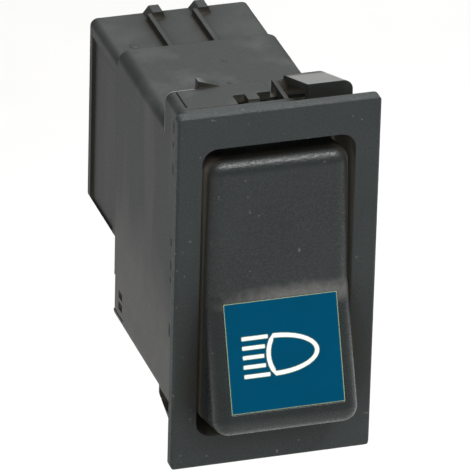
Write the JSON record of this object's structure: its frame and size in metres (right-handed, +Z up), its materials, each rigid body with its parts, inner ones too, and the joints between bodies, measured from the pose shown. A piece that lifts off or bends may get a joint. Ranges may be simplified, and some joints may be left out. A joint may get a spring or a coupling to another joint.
{
  "type": "panel rocker switch",
  "caption": "Snap-in panel rocker switch with a dished rocker, a lit blue lens marked with a main-beam lamp, sprung latch wings and a keyed plug shroud at the rear.",
  "frame": {"origin": "centre of the bezel plate's back face, the face that sits on the panel", "axes": "-Y is the front with the rocker, +Y runs back through the panel along the housing, +Z is up and +X is to the right seen from the front"},
  "size_m": [0.0266, 0.0544, 0.0514],
  "materials": {
    "bezel_black": "fine spark-eroded grain, near black with a cool cast",
    "housing_grey": "glass-filled moulding, dark grey, dull",
    "base_grey": "glass-filled moulding, dark grey, dull",
    "rocker_black": "satin, fine grain, slight sheen on the rounded edges",
    "lens_blue": "translucent deep blue, satin front",
    "symbol_white": "opaque white fill, flush with the lens",
    "plunger_nylon": "natural, slightly waxy",
    "holder_nylon": "natural, slightly waxy",
    "spring_steel": "drawn wire",
    "contact_copper": "rolled copper strip, slightly tarnished",
    "contact_silver": "dull silver contact rivets",
    "terminal_brass": "tin-flashed brass strip, sheared edges",
    "bulb_glass": "clear glass wedge lamp"
  },
  "bodies": {
    "base": {"bezel": "bezel_black", "housing": "housing_grey", "terminal_base": "base_grey", "common_terminal_left": "terminal_brass", "common_terminal_right": "terminal_brass", "upper_terminal_left": "terminal_brass", "upper_terminal_right": "terminal_brass", "lower_terminal_left": "terminal_brass", "lower_terminal_right": "terminal_brass", "fixed_points": "contact_silver", "lamp_terminal_left": "terminal_brass", "lamp_terminal_right": "terminal_brass", "lamp_holder": "holder_nylon", "bulb": "bulb_glass"},
    "rocker_body": {"rocker": "rocker_black", "lens": "lens_blue", "lens_symbol": "symbol_white", "plunger_spring_left": "spring_steel", "plunger_spring_right": "spring_steel"},
    "plunger_left_body": {"plunger_left": "plunger_nylon"},
    "plunger_right_body": {"plunger_right": "plunger_nylon"},
    "contact_left_body": {"moving_contact_left": "contact_copper", "moving_points_left": "contact_silver"},
    "contact_right_body": {"moving_contact_right": "contact_copper", "moving_points_right": "contact_silver"}
  },
  "joints": [
    {"name": "rocker_tilt", "type": "hinge", "parent": "base", "child": "rocker_body", "pos_m": [0, 0.0016, -0.0008], "axis": [1, 0, 0], "range_deg": [0, 25]},
    {"name": "contact_rock_left", "type": "hinge", "parent": "base", "child": "contact_left_body", "pos_m": [-0.0046, 0.0136, -0.0008], "axis": [1, 0, 0], "range_deg": [-10, 0]},
    {"name": "contact_rock_right", "type": "hinge", "parent": "base", "child": "contact_right_body", "pos_m": [0.0046, 0.0136, -0.0008], "axis": [1, 0, 0], "range_deg": [-10, 0]},
    {"name": "plunger_slide_left", "type": "slide", "parent": "rocker_body", "child": "plunger_left_body", "axis": [0, 0.9763, -0.2164], "range_m": [-0.001, 0], "stiffness_N_per_m": 300, "springref_m": 0.003, "deforming": ["plunger_spring_left"]},
    {"name": "plunger_slide_right", "type": "slide", "parent": "rocker_body", "child": "plunger_right_body", "axis": [0, 0.9763, -0.2164], "range_m": [-0.001, 0], "stiffness_N_per_m": 300, "springref_m": 0.003, "deforming": ["plunger_spring_right"]}
  ],
  "couplings": [
    {"joint": "contact_rock_left", "follows": "rocker_tilt", "ratio": -0.4},
    {"joint": "contact_rock_right", "follows": "rocker_tilt", "ratio": -0.4}
  ]
}
